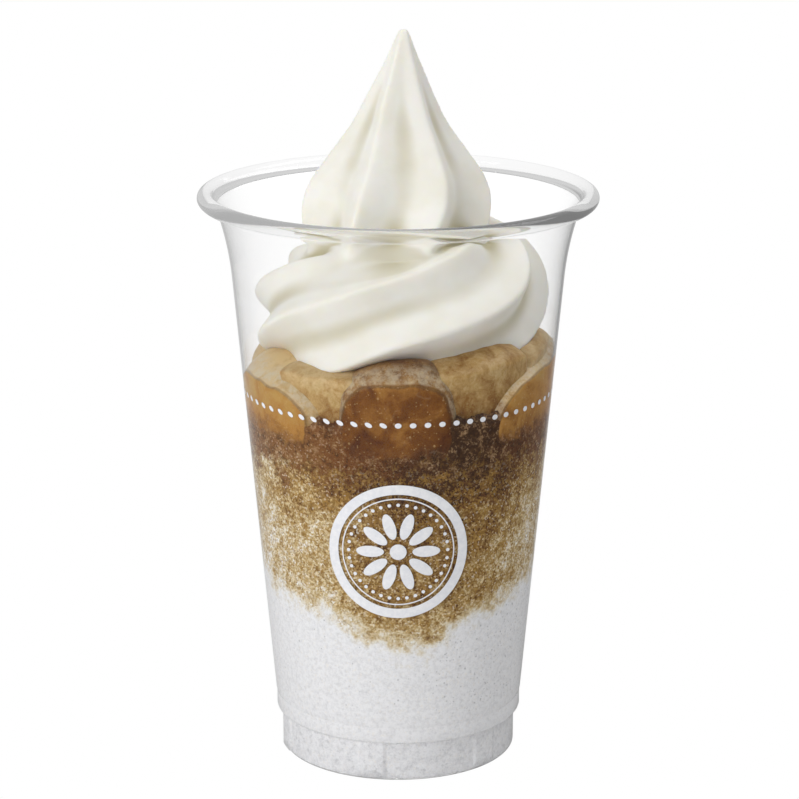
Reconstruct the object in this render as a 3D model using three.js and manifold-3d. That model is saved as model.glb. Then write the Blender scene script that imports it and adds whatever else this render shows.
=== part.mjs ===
// A clear plastic cup of shaved ice with brown syrup, soft jelly pieces and a swirl of soft-serve.
// Millimetres, +Z up. The origin is the centre of the ring that the cup stands on.
// The cup is one turned shell: foot with stacking ribs, tapered wall, flared neck and rolled rim.
// Inside it, from the floor up: white shaved ice, syrup-soaked ice, a ring of jelly pieces in two
// layers pressed against the wall and each other, and one piped piece of soft-serve on top.
import * as THREE from "three";
import { mergeVertices } from "three/addons/utils/BufferGeometryUtils.js";
import Module from "manifold-3d";

const wasm = await Module();
wasm.setup();

// ---- driving dimensions ----
const SHEET = 0.5; // the cup's wall thickness
const GAP = 0.3; // free space kept between touching solids
const BED_GAP = 0.5; // how much larger a jelly piece is when it cuts its bed
const FACET_SLACK = 0.18; // how far joined facets may stand off the true surface
const RIM = { radius: 46, top: 134.1, across: 2.0, half: 1.65, tuck: -125, root: 152 };
const WALL = { radius: 29.1, from: 14.2, taper: 0.0917, flareFrom: 114, flare: 0.0073, to: 130.8 };
const FLARE_STEPS = [WALL.flareFrom, 121, 126, WALL.to]; // heights at which the flare is turned
const BAND = { radius: 28.9, low: 9.7, high: 13.2 }; // the plain band above the foot
const FOOT = { radius: 27.5, top: 9.45, fillet: 0.7, ringIn: 24.6, punt: 2.0, puntRadius: 22.6 };
const LEAST_ROUND = 0.1; // the rounding kept where the corner of the foot is set in
const RIBS = { count: 6, width: 13, height: 0.4, firstAt: -103 };
const CUP_SEGMENTS = 44;

// Where the white ice turns to syrup ice, and where the syrup ice ends, at the wall.
const ICE = { height: 51, lobe: 15, lobeAt: -90, middle: 46, top: 92.5, core: 94.5, segments: 32 };

// Jelly pieces: azimuth from +X, distance out, height, half sizes across, outward and up, and the
// lean that lifts the anticlockwise end.
const JELLY = [
  { at: -90, out: 26.5, up: 87.5, size: [13.6, 11.6, 13.6], lean: 0 },
  { at: -151, out: 26, up: 85, size: [17.5, 12.2, 14], lean: -8 },
  { at: -17, out: 26.3, up: 85.7, size: [20, 12, 13.2], lean: 14 },
  { at: 35, out: 26, up: 85.5, size: [15, 12, 12.2], lean: -5 },
  { at: 90, out: 26, up: 87, size: [15.5, 12, 12.4], lean: 0 },
  { at: 149, out: 26, up: 84.5, size: [15, 12, 12.6], lean: 0 },
  { at: -124, out: 21, up: 94.5, size: [10.5, 9.5, 10], lean: 0 },
  { at: -54, out: 21.5, up: 95.5, size: [11.5, 9.5, 10], lean: 0 },
  { at: -15, out: 24.5, up: 96.8, size: [11.5, 10.5, 9], lean: 6 },
  { at: 20, out: 24, up: 95.5, size: [11, 10, 9.5], lean: 0 },
  { at: 62, out: 23, up: 95.5, size: [11, 9.5, 10], lean: 0 },
  { at: 118, out: 23, up: 95, size: [10.5, 9.5, 10], lean: 0 },
  { at: 170, out: 24, up: 95.5, size: [11.5, 10, 9.5], lean: 0 },
];
const JELLY_CELLS = { around: 10, over: 6, lump: 0.06, squareness: 2.6 };

// Soft-serve: one rope of cream, a coil that climbs and then a drawn-out tip.
const CREAM = {
  middle: 111, // the height on the axis that its surface is worked out from
  bottom: 97.2,
  around: 48,
  over: 28,
  spread: 7, // degrees by which its rows of facets stand further apart at the middle
};
// Along the coil: azimuth, path radius, height, half width, half height, and where its leading
// crest stands round the section.
const COIL = [
  [-305, 11, 103, 8, 5, -215], [-280, 12.5, 104, 17, 10, -185], [-240, 13, 104.8, 19.8, 12.8, -125],
  [-205, 12.8, 105.6, 21, 14.6, -72], [-180, 12.7, 106, 21.3, 16.2, -41],
  [-164, 12.7, 106, 21.7, 16.2, -18], [-143, 12.8, 106.4, 22, 16.8, 8],
  [-113, 12.9, 106.8, 21.8, 16.6, 33], [-90, 13, 107.3, 21.6, 15.2, 53],
  [-70, 13.1, 108, 21.6, 16.2, 62], [-49, 13.3, 108.8, 21.5, 16.6, 70],
  [-37, 13.4, 109.2, 21.5, 16.8, 77], [-23, 13.4, 109.7, 21.5, 17, 90],
  [-10, 13.4, 110.2, 21.5, 17.3, 109], [0, 13.4, 110.5, 21.5, 17.4, 127],
  [40, 12.4, 112, 20.8, 16, 174], [90, 10.5, 114.5, 19, 13.5, 225], [135, 8, 117, 17.5, 10.5, 275],
  [180, 5.5, 118.5, 15.4, 8, 325], [225, 3, 119, 14, 6, 375], [270, 0, 119, 11, 5, 425],
];
const COIL_CRESTS = { count: 6, depth: 0.22, round: 0.07, boxy: 0.8, taper: 25 };
// Up the tip: height, radius, the turn of its crests, how far it leans to +X, and how much wider
// apart its crests stand in front than behind.
const TIP = [
  [110, 17, -14, -0.5, 0], [117, 19.6, -10, -0.5, 0], [121, 20.9, -7, -0.5, 0],
  [128, 22.1, -1, -0.5, 0], [133, 21.9, 3, -0.4, 0.05], [137.5, 20, 5, -0.2, 0.1],
  [142.5, 16.3, 6, 0, 0.14], [150, 10.8, 5, 0.3, 0.22], [155.5, 8, 4, 0.5, 0.25],
  [161, 5.4, 4, 0.8, 0.25], [166.3, 3, 4, 1.05, 0.25], [169.4, 1.7, 4, 1.15, 0.25],
];
const TIP_CRESTS = { count: 7, depth: 0.24, at: -115.71, round: 0.05 };
const TIP_TOP = 171;

const LOOKS = {
  cup: { color: 0xe9edef, roughness: 0.08, transparent: true, opacity: 0.25 },
  whiteIce: { color: 0xdcdcde, roughness: 0.6 },
  syrupIce: { color: 0x9a6a33, roughness: 0.5 },
  jelly: { color: 0x9b6224, roughness: 0.15 },
  cream: { color: 0xf2eee2, roughness: 0.5 },
};

const rad = THREE.MathUtils.degToRad;
const smooth = (t) => t * t * (3 - 2 * t);

// ---- solids ----
// Any closed BufferGeometry as a manifold solid, with its seams merged and collapsed faces dropped.
function solid(geometry) {
  const bare = geometry.clone();
  bare.deleteAttribute("normal");
  bare.deleteAttribute("uv");
  const merged = mergeVertices(bare, 1e-4);
  const index = merged.index.array;
  const kept = [];
  for (let i = 0; i < index.length; i += 3) {
    const [a, b, c] = [index[i], index[i + 1], index[i + 2]];
    if (a !== b && b !== c && a !== c) kept.push(a, b, c);
  }
  const made = new wasm.Manifold(
    new wasm.Mesh({
      numProp: 3,
      vertProperties: merged.attributes.position.array,
      triVerts: new Uint32Array(kept),
    }),
  );
  if (made.volume() < 0) throw new Error("a profile runs the wrong way round");
  return made;
}

// The largest body of a solid, because a cut can leave slivers, with its near-flat facets joined.
function largest(made) {
  const bodies = made.simplify(FACET_SLACK).decompose();
  return bodies.reduce((a, b) => (a.volume() > b.volume() ? a : b));
}

function toGeometry(made) {
  const mesh = made.getMesh();
  const stride = mesh.numProp;
  const position = new Float32Array(mesh.numVert * 3);
  for (let i = 0; i < mesh.numVert; i++)
    position.set(mesh.vertProperties.subarray(i * stride, i * stride + 3), i * 3);
  const geometry = new THREE.BufferGeometry();
  geometry.setAttribute("position", new THREE.BufferAttribute(position, 3));
  geometry.setIndex(new THREE.BufferAttribute(mesh.triVerts, 1));
  geometry.computeVertexNormals();
  return geometry;
}

// A turned solid whose profile may change with the azimuth: profileAt(degrees) gives [r, z]
// points from the axis below to the axis above, always the same number of them.
function turned(profileAt, segments) {
  const first = profileAt(0).map(([r, z]) => new THREE.Vector2(r, z));
  const geometry = new THREE.LatheGeometry(first, segments);
  const place = geometry.attributes.position;
  for (let i = 0; i <= segments; i++) {
    const azimuth = ((i % segments) / segments) * 360;
    profileAt(azimuth).forEach(([r, z], j) => {
      const [x, y] = [r * Math.cos(rad(azimuth)), r * Math.sin(rad(azimuth))];
      place.setXYZ(i * first.length + j, r === 0 ? 0 : x, r === 0 ? 0 : y, z);
    });
  }
  return geometry;
}

// ---- the cup ----
function wallRadius(z) {
  const flare = Math.max(0, z - WALL.flareFrom);
  return WALL.radius + WALL.taper * (z - WALL.from) + WALL.flare * flare * flare;
}

function steps(from, to, count) {
  return Array.from({ length: count + 1 }, (_, i) => from + ((to - from) * i) / count);
}

// The outside of the foot and band, from the standing ring up to the wall.
function footOutline(inset) {
  const round = Math.max(FOOT.fillet, inset + LEAST_ROUND);
  const corner = steps(-90, 0, 2).map((a) => [
    FOOT.radius - round + (round - inset) * Math.cos(rad(a)),
    round + (round - inset) * Math.sin(rad(a)),
  ]);
  return [
    ...corner,
    [FOOT.radius - inset, FOOT.top],
    [BAND.radius - inset, BAND.low],
    [BAND.radius - inset, BAND.high],
    [wallRadius(WALL.from) - inset, WALL.from],
  ];
}

// The rolled rim as an arc of an ellipse, set in by the sheet's thickness on its inner side.
function rimArc(inset, from, to, count) {
  const middle = [RIM.radius - RIM.across, RIM.top - RIM.half];
  return steps(from, to, count).map((a) => [
    middle[0] + (RIM.across - inset) * Math.cos(rad(a)),
    middle[1] + (RIM.half - inset) * Math.sin(rad(a)),
  ]);
}

function ribHeight(azimuth) {
  const pitch = 360 / RIBS.count;
  const off = ((((azimuth - RIBS.firstAt) % pitch) + pitch * 1.5) % pitch) - pitch / 2;
  return Math.abs(off) < RIBS.width / 2 ? RIBS.height : 0;
}

function cupProfile(azimuth) {
  const rib = ribHeight(azimuth);
  const outside = footOutline(0).map(([r, z]) => (z < BAND.low ? [r + rib, z] : [r, z]));
  const inside = footOutline(SHEET).reverse();
  return [
    [0, FOOT.punt],
    [FOOT.puntRadius, FOOT.punt],
    [FOOT.ringIn, 0],
    ...outside,
    ...FLARE_STEPS.map((z) => [wallRadius(z), z]),
    ...rimArc(SHEET, RIM.root, RIM.tuck, 4),
    ...rimArc(0, RIM.tuck, RIM.root, 5),
    ...FLARE_STEPS.map((z) => [wallRadius(z) - SHEET, z]).reverse(),
    ...inside,
    [FOOT.ringIn - SHEET * 0.2, SHEET],
    [FOOT.puntRadius - SHEET * 0.4, FOOT.punt + SHEET],
    [0, FOOT.punt + SHEET],
  ];
}

// ---- the shaved ice ----
// An uneven height: slow waves round the cup and a lobe of syrup that reaches down at the front.
function syrupLine(azimuth) {
  const a = rad(azimuth);
  const waves = 2.2 * Math.sin(3 * a + 0.6) + 1.6 * Math.sin(5 * a + 2.1) + 1.1 * Math.sin(8 * a);
  const away = Math.cos(rad(azimuth - ICE.lobeAt));
  return ICE.height + waves - ICE.lobe * Math.max(0, away) ** 3;
}

function iceTopAtWall(azimuth) {
  return ICE.top + 1.1 * Math.sin(4 * rad(azimuth) + 1) + 0.8 * Math.sin(7 * rad(azimuth));
}

// The surface between the two ices, as [r, z] points from the axis out, lowered by drop.
function iceBoundary(azimuth, drop) {
  const line = syrupLine(azimuth);
  const r = wallRadius(line) - SHEET - GAP;
  const rise = (t) => THREE.MathUtils.lerp(ICE.middle, line, t * t) - drop;
  return [0, 0.25, 0.5, 0.75, 1].map((t) => [r * t, rise(t)]);
}

// The white ice, from the cup's floor up to the surface where the syrup begins.
function whiteIceProfile(azimuth) {
  const low = SHEET + GAP;
  return [
    [0, FOOT.punt + low],
    [FOOT.puntRadius, FOOT.punt + low],
    [FOOT.ringIn + GAP, low],
    ...footOutline(low),
    ...iceBoundary(azimuth, 2 * GAP).reverse(),
  ];
}

// The syrup-soaked ice, up to the uneven level among the jelly pieces.
function syrupIceProfile(azimuth) {
  const top = iceTopAtWall(azimuth);
  const r = wallRadius(top) - SHEET - GAP;
  const rise = (t) => THREE.MathUtils.lerp(ICE.core, top, t);
  const over = [1, 0.8, 0.55, 0.3, 0].map((t) => [r * t, rise(t)]);
  return [...iceBoundary(azimuth, 0), ...over];
}

// ---- the jelly pieces ----
function jellyCentre({ at, out, up }) {
  return new THREE.Vector3(out * Math.cos(rad(at)), out * Math.sin(rad(at)), up);
}

// How far a soft box with rounded sides reaches from its centre in a direction.
function softReach({ at, size, lean }, direction, seed) {
  const local = direction.clone().applyAxisAngle(new THREE.Vector3(0, 0, 1), rad(90 - at));
  local.applyAxisAngle(new THREE.Vector3(0, 1, 0), rad(-lean));
  const n = JELLY_CELLS.squareness;
  const sum =
    Math.abs(local.x / size[0]) ** n + Math.abs(local.y / size[1]) ** n + Math.abs(local.z / size[2]) ** n;
  const lump =
    1 +
    JELLY_CELLS.lump * Math.sin(3 * local.x + 1.7 * seed) * Math.cos(2.4 * local.z + seed) +
    JELLY_CELLS.lump * 0.6 * Math.sin(4 * local.y + 2.9 * seed);
  return lump / sum ** (1 / n);
}

// One piece, flattened where it meets the wall and its neighbours. grow makes it that much larger
// on every side, for cutting its bed.
function jellyPiece(piece, seed, grow) {
  const centre = jellyCentre(piece);
  const limits = JELLY.filter((other) => other !== piece).map((other) => {
    const apart = jellyCentre(other).sub(centre);
    const distance = apart.length();
    const normal = apart.normalize();
    const mine = softReach(piece, normal, seed);
    const theirs = softReach(other, normal.clone().negate(), JELLY.indexOf(other));
    return { normal, reach: (distance * mine) / (mine + theirs) - GAP / 2 + grow };
  });
  const geometry = new THREE.SphereGeometry(1, JELLY_CELLS.around, JELLY_CELLS.over);
  const place = geometry.attributes.position;
  const direction = new THREE.Vector3();
  for (let i = 0; i < place.count; i++) {
    direction.fromBufferAttribute(place, i).normalize();
    let reach = softReach(piece, direction, seed) + grow;
    for (const { normal, reach: most } of limits) {
      const along = direction.dot(normal);
      if (along * reach > most) reach = most / along;
    }
    const point = new THREE.Vector3();
    const fits = (length) => {
      point.copy(direction).multiplyScalar(length).add(centre);
      return Math.hypot(point.x, point.y) <= wallRadius(point.z) - SHEET - GAP + grow;
    };
    let least = 0;
    for (let turn = 0; turn < 24 && !fits(reach); turn++) {
      const middle = (least + reach) / 2;
      if (fits(middle)) least = middle;
      else reach = middle;
    }
    place.setXYZ(i, point.x, point.y, point.z);
  }
  return solid(geometry);
}

// ---- the soft-serve ----
// A value between the rows of a table whose first column rises.
function between(rows, at, column) {
  if (at <= rows[0][0]) return rows[0][column];
  for (let i = 1; i < rows.length; i++)
    if (at <= rows[i][0]) {
      const t = (at - rows[i - 1][0]) / (rows[i][0] - rows[i - 1][0]);
      return THREE.MathUtils.lerp(rows[i - 1][column], rows[i][column], t);
    }
  return rows[rows.length - 1][column];
}

// 0 on a crest, rising steeply to 1 in the middle of the flute between two crests.
function flute(angle, count, round) {
  const s = Math.sin((count * angle) / 2);
  return Math.sqrt(s * s + round * round) - round;
}

// The rope's section where it passes an azimuth, as [r, z] points, or nothing past its ends.
// along counts on past a turn.
function coilSection(along) {
  const left = Math.min(along - COIL[0][0], COIL[COIL.length - 1][0] - along);
  if (left <= 0) return [];
  const [path, height, wide, tall, crest] = [1, 2, 3, 4, 5].map((i) => between(COIL, along, i));
  const blunt = Math.sqrt(1 - (1 - Math.min(left / COIL_CRESTS.taper, 1)) ** 2);
  return steps(0, 360, 90).map((degrees) => {
    const b = rad(degrees);
    const groove = flute(b - rad(crest), COIL_CRESTS.count, COIL_CRESTS.round);
    const f = blunt * (1 - COIL_CRESTS.depth * groove);
    const across = Math.sign(Math.cos(b)) * Math.abs(Math.cos(b)) ** COIL_CRESTS.boxy;
    return [path + wide * f * across, height + tall * f * Math.sin(b)];
  });
}

function tipSection(azimuth) {
  const side = steps(TIP[0][0], TIP[TIP.length - 1][0], 60).map((z) => {
    const [radius, turn, lean, spread] = [1, 2, 3, 4].map((i) => between(TIP, z, i));
    const off = rad(azimuth - TIP_CRESTS.at - turn) - spread * Math.cos(rad(azimuth));
    const f = 1 - TIP_CRESTS.depth * flute(off, TIP_CRESTS.count, TIP_CRESTS.round);
    return [radius * f + lean * Math.cos(rad(azimuth)), z];
  });
  return [[0, TIP[0][0]], ...side, [0, TIP_TOP], [0, TIP[0][0]]];
}

// The furthest that a ray from (0, z0) at an elevation gets to inside a closed outline.
function rayReach(outline, z0, elevation) {
  const [c, s] = [Math.cos(elevation), Math.sin(elevation)];
  let most = 0;
  for (let i = 1; i < outline.length; i++) {
    const [r1, h1] = [outline[i - 1][0], outline[i - 1][1] - z0];
    const [r2, h2] = [outline[i][0], outline[i][1] - z0];
    const [d1, d2] = [r1 * s - h1 * c, r2 * s - h2 * c];
    if (d1 * d2 > 0 || d1 === d2) continue;
    const t = d1 / (d1 - d2);
    const reach = (r1 + (r2 - r1) * t) * c + (h1 + (h2 - h1) * t) * s;
    most = Math.max(most, reach);
  }
  return most;
}

function softServe() {
  const { middle, around, over, bottom, spread } = CREAM;
  const rows = steps(-90, 90, over).map((e) => e + spread * Math.sin(rad(2 * e)));
  const profileAt = (azimuth) => {
    const turns = [azimuth - 720, azimuth - 360, azimuth].map(coilSection);
    const outlines = [...turns, tipSection(azimuth)];
    return rows.map((elevation, i) => {
      if (i === 0) return [0, bottom];
      if (i === over) return [0, TIP_TOP];
      const e = rad(elevation);
      const reach = Math.max(...outlines.map((outline) => rayReach(outline, middle, e)));
      const down = e < 0 ? Math.min(reach, (middle - bottom) / -Math.sin(e)) : reach;
      return [down * Math.cos(e), middle + down * Math.sin(e)];
    });
  };
  return turned(profileAt, around);
}

// ---- the object ----
function part() {
  const object = new THREE.Group();
  const add = (name, made, look) => {
    const mesh = new THREE.Mesh(toGeometry(made), new THREE.MeshStandardMaterial(look));
    mesh.name = name;
    object.add(mesh);
  };
  add("cup", solid(turned(cupProfile, CUP_SEGMENTS)), LOOKS.cup);
  add("white_ice", solid(turned(whiteIceProfile, ICE.segments)), LOOKS.whiteIce);

  const beds = JELLY.map((piece, i) => jellyPiece(piece, i, BED_GAP));
  const cutByJelly = (made) => largest(beds.reduce((left, bed) => left.subtract(bed), made));
  const syrupIce = solid(turned(syrupIceProfile, ICE.segments));
  add("syrup_ice", cutByJelly(syrupIce), LOOKS.syrupIce);
  JELLY.forEach((piece, i) => {
    add(`jelly_${String(i + 1).padStart(2, "0")}`, jellyPiece(piece, i, 0), LOOKS.jelly);
  });
  add("soft_serve", cutByJelly(solid(softServe())), LOOKS.cream);
  return object;
}

export default part();
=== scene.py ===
"""A clear plastic cup of shaved ice, brown syrup, jelly pieces and a swirl of soft-serve.

The cup, the print, the ice and the soft-serve are grown by Geometry Nodes from short outlines.
The jelly pieces are pressed into shape point by point. All lengths are in metres.
"""

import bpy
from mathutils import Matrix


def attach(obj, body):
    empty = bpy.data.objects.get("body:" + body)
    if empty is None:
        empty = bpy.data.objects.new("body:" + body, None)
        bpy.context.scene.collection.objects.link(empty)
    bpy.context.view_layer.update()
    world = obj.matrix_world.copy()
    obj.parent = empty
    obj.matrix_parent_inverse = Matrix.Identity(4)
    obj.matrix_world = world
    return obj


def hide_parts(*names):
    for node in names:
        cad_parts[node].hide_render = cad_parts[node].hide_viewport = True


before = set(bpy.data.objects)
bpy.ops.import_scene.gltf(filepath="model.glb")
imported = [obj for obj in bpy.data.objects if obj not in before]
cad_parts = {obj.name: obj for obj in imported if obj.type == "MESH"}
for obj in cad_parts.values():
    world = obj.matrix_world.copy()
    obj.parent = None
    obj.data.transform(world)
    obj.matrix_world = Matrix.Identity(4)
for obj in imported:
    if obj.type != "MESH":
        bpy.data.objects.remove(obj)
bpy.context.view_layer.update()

import math

import bmesh
import bpy
import numpy as np
from mathutils import Vector

MM = 0.001
TURN = 2 * math.pi

# ---- sizes, as in the CAD model ----
SHEET = 0.5 * MM
WALL = {"radius": 29.1 * MM, "start": 14.2 * MM, "taper": 0.0917, "flare_start": 114 * MM,
        "flare": 7.3, "end": 130.8 * MM}
FOOT = {"radius": 27.5 * MM, "fillet": 0.7 * MM, "ring": 24.6 * MM, "punt": 2.0 * MM,
        "punt_radius": 22.6 * MM}
# Radius and height up the outside of the foot and over the band, in millimetres. The ribs stand
# on the straight part.
FOOT_PROFILE = [(27.5, 2.5), (27.5, 5), (27.5, 7.5), (27.5, 9.1), (27.53, 9.35), (27.66, 9.45),
                (28.7, 9.7), (28.85, 9.78), (28.9, 9.95), (28.9, 13.2), (28.85, 13.35),
                (28.92, 13.5)]
RIM = {"radius": 46 * MM, "top": 134.1 * MM, "across": 2.0 * MM, "half": 1.65 * MM,
       "start": -125, "end": 152}  # half sizes of the rolled section, and where it starts and ends

# ---- what fills the cup ----
ICE_INSET = SHEET - 0.18 * MM  # the ice reaches just into the plastic, so that no air shows
ICE_BORDER = 51 * MM  # between the white ice and the syrup ice, before its waves
ICE_SHOULDER = 86.5 * MM  # where the ice leaves the wall and rounds off under the jelly
JELLY_INTO_WALL = 0.3 * MM
JELLY_FOOT = 79.5 * MM  # below about this height the ice hides the jelly from outside
SIDE_FOOT = 1.7 * MM  # how much higher that is away from the front
COIL_STATIONS = 320
SKIN_VOXEL = 0.475 * MM  # of the swirl's fused skin, which stays under 200,000 triangles
DOT_HEIGHT = 87.9 * MM
INK = 0.05 * MM  # how far the print stands proud of the wall

# ---- light ----
WORLD_LIGHT = 0.41
WORLD_GLOSS = (0.5, 0.74)  # on the camera's side and behind the object
SHADE_GLOSS = 0.47  # of both, on the right
FLOOR_GLOSS = (0.5, 0.6)  # the floor's own, in front of the object and behind it
CLEAR_GLOW = 1.07  # how bright the studio is through clear plastic, where a little is lost
WALL_IOR = 1.25  # gentle, so that the wall does not veil the dark syrup with reflections
PLASTIC_DENSITY = 22.0
# Each softbox's name, place, the spot that it faces, width and height, and power.
LIGHTS = [("key", (-0.60, -0.70, 0.48), (0, 0, 0.09), (0.6, 0.6), 5.2),
          ("fill", (0.8, -0.6, 0.35), (0, 0, 0.08), (0.5, 0.8), 0.1),
          ("top", (0.42, 0.15, 0.85), (0, 0, 0.1), (0.6, 0.6), 3.4)]
CAMERA = {"place": (0.0003, -0.6748, 0.2713), "tilt": 15.51, "lens": 135.4}

# ---- colours ----
ICE_STOPS = [(0.0, (0.90, 0.90, 0.915)), (0.10, (0.86, 0.83, 0.76)), (0.28, (0.70, 0.58, 0.36)),
             (0.45, (0.48, 0.335, 0.14)), (0.62, (0.29, 0.165, 0.055)),
             (0.80, (0.15, 0.068, 0.022)), (1.0, (0.065, 0.029, 0.013))]
ICE_GOLDEN = (0.46, 0.26, 0.055, 1)
ICE_CRUSHED = (0.12, 0.06, 0.02, 1)
# painted glints: grain colours that stand in for sparkle of light on the crystals
ICE_PAINTED_GLINTS = ((0.82, 0.60, 0.26, 1), (0.87, 0.82, 0.70, 1))
ICE_GREY = (0.58, 0.58, 0.60, 1)
# dark bubbles in clean ice, also used as painted shade on the side away from the key light
ICE_BUBBLE_SHADE = (0.38, 0.38, 0.40, 1)
SMEAR_STOPS = [(0.0, (0.21, 0.085, 0.026)), (0.55, (0.155, 0.055, 0.015)),
               (0.85, (0.105, 0.038, 0.012)), (1.0, (0.055, 0.026, 0.013))]
SMEAR_DARK = (0.04, 0.016, 0.007, 1)
SMEAR_LIGHT = (0.40, 0.24, 0.12, 1)
JELLY_DEEP = [(0.0, (0.50, 0.31, 0.09)), (0.3, (0.44, 0.215, 0.048)),
              (0.7, (0.205, 0.075, 0.012)), (1.0, (0.09, 0.028, 0.008))]
JELLY_HAZY = [(0.0, (0.64, 0.47, 0.24)), (0.25, (0.50, 0.32, 0.12)), (0.5, (0.31, 0.155, 0.042)),
              (0.75, (0.18, 0.078, 0.022)), (1.0, (0.095, 0.042, 0.017))]
JELLY_FROST = (0.63, 0.54, 0.38, 1)
JELLY_SPECK = (0.55, 0.37, 0.16, 1)
# painted shade for the crease where a jelly piece leaves the wall
JELLY_CREASE_SHADE = (0.11, 0.05, 0.018, 1)
# painted shade for the upward faces of the loose jelly pieces
JELLY_TOP_SHADE = (0.16, 0.09, 0.04, 1)
CREAM_WARM = (0.87, 0.85, 0.765, 1)
CREAM_PALE = (0.905, 0.89, 0.83, 1)
# painted shade for the flutes of the soft-serve
CREAM_FLUTE_SHADE = (0.56, 0.51, 0.34, 1)
INK_COLOURS = ((0.80, 0.81, 0.85, 1), (0.90, 0.90, 0.92, 1))


# ---- node trees ----
def arithmetic(operation, from_right=False):
    """A method of Value that does one step of arithmetic with what stands beside it."""
    def method(this, *others):
        return calc(operation, *others, this) if from_right else calc(operation, this, *others)
    return method


class Value:
    """A socket that takes part in arithmetic. Every step adds a node to the socket's tree."""

    def __init__(self, socket):
        self.socket = socket
        self.tree = socket.id_data

    def output(self, name):
        """Another output of the same node."""
        return Value(self.socket.node.outputs[name])

    __add__ = __radd__ = arithmetic("ADD")
    __sub__ = arithmetic("SUBTRACT")
    __rsub__ = arithmetic("SUBTRACT", from_right=True)
    __mul__ = arithmetic("MULTIPLY")
    __truediv__ = arithmetic("DIVIDE")
    __rtruediv__ = arithmetic("DIVIDE", from_right=True)
    __mod__ = arithmetic("FLOORED_MODULO")
    __pow__ = arithmetic("POWER")
    __gt__ = arithmetic("GREATER_THAN")
    __abs__ = arithmetic("ABSOLUTE")


def feed(socket, value):
    """Links a value into a socket, or sets the socket to a plain number, colour or vector."""
    if isinstance(value, Value):
        value.tree.links.new(value.socket, socket)
    else:
        socket.default_value = value


def feed_all(made, values):
    """Feeds a node's inputs, named by number or by the name of the one in use."""
    for key, value in values.items():
        by_name = (s for s in made.inputs if s.name == key and s.enabled)
        feed(made.inputs[key] if isinstance(key, int) else next(by_name), value)


def node(tree, kind, values=None, **settings):
    """Adds a node with these values in its inputs, and returns its first output."""
    made = tree.nodes.new(kind)
    for name, value in settings.items():
        setattr(made, name, value)
    feed_all(made, values or {})
    return Value(next(s for s in made.outputs if s.enabled))


def step(kind, values, **settings):
    """Adds a node to the tree that its values are in."""
    tree = next(value.tree for value in values.values() if isinstance(value, Value))
    return node(tree, kind, values, **settings)


def calc(operation, *values):
    """One step of arithmetic on numbers."""
    return step("ShaderNodeMath", dict(enumerate(values)), operation=operation)


def vector(x=0.0, y=0.0, z=0.0):
    return step("ShaderNodeCombineXYZ", {"X": x, "Y": y, "Z": z})


def parts_of(value):
    """The three numbers in a vector or colour."""
    made = step("ShaderNodeSeparateXYZ", {0: value})
    return made, made.output("Y"), made.output("Z")


def polar(radius, angle, height):
    """The place at a radius, an angle round the axis and a height."""
    return vector(radius * calc("COSINE", angle), radius * calc("SINE", angle), height)


def length_of(x, y):
    return calc("SQRT", x * x + y * y)


def geometry_tree(name, inputs):
    """A Geometry Nodes tree with one geometry in and out, and inputs of {name: (kind, value)}."""
    tree = bpy.data.node_groups.new(name, "GeometryNodeTree")
    tree.interface.new_socket("Geometry", in_out="INPUT", socket_type="NodeSocketGeometry")
    for label, (kind, value) in inputs.items():
        made = tree.interface.new_socket(label, in_out="INPUT", socket_type="NodeSocket" + kind)
        made.default_value = value
    tree.interface.new_socket("Material", in_out="INPUT", socket_type="NodeSocketMaterial")
    tree.interface.new_socket("Geometry", in_out="OUTPUT", socket_type="NodeSocketGeometry")
    sockets = tree.nodes.new("NodeGroupInput").outputs
    return tree, {socket.name: Value(socket) for socket in sockets if socket.name}


def close_tree(given, result):
    """Ends a tree: instances made real, and its material set."""
    real = step("GeometryNodeRealizeInstances", {0: result})
    painted = step("GeometryNodeSetMaterial", {"Geometry": real, "Material": given["Material"]})
    end = painted.tree.nodes.new("NodeGroupOutput")
    feed(end.inputs[0], painted)
    return painted.tree


# ---- meshes ----
def new_object(name, data):
    made = bpy.data.objects.new(name, data)
    bpy.context.scene.collection.objects.link(made)
    return made


def take_mesh(name, holder):
    """What an object's modifiers make of it, as a plain mesh. The object is removed."""
    depsgraph = bpy.context.evaluated_depsgraph_get()
    made = bpy.data.meshes.new_from_object(holder.evaluated_get(depsgraph))
    bpy.data.objects.remove(holder)
    made.name = name
    return made


def run_tree(name, tree, source, **values):
    """Runs a tree over a source mesh and returns the result as a plain mesh."""
    holder = new_object(name + "_source", source)
    modifier = holder.modifiers.new("make", "NODES")
    modifier.node_group = tree
    for item in tree.interface.items_tree:
        label = item.name.lower().replace(" ", "_")
        if item.in_out == "INPUT" and label in values:
            modifier[item.identifier] = values[label]
    return take_mesh(name, holder)


def store(mesh, columns):
    """Stores a number of each name on every point of a mesh."""
    for label, values in columns.items():
        mesh.attributes.new(label, "FLOAT", "POINT").data.foreach_set("value", list(values))
    return mesh


def stations(name, **columns):
    """A mesh of points that carry numbers, for a tree to read as the rows of a table."""
    mesh = bpy.data.meshes.new(name)
    mesh.from_pydata([(0, 0, 0)] * len(next(iter(columns.values()))), [], [])
    return store(mesh, columns)


def coordinates(mesh):
    flat = np.empty(len(mesh.vertices) * 3)
    mesh.vertices.foreach_get("co", flat)
    return flat.reshape(-1, 3)


def move_points(mesh, places):
    mesh.vertices.foreach_set("co", np.asarray(places, float).ravel())
    mesh.update()


def face_outward(mesh):
    """Turns a closed mesh the right way round if it is inside out."""
    mesh.calc_loop_triangles()
    corners = np.empty(len(mesh.loop_triangles) * 3, int)
    mesh.loop_triangles.foreach_get("vertices", corners)
    a, b, c = np.moveaxis(coordinates(mesh)[corners.reshape(-1, 3)], 1, 0)
    if np.einsum("ij,ij->i", a, np.cross(b, c)).sum() < 0:
        mesh.flip_normals()
    return mesh


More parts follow.
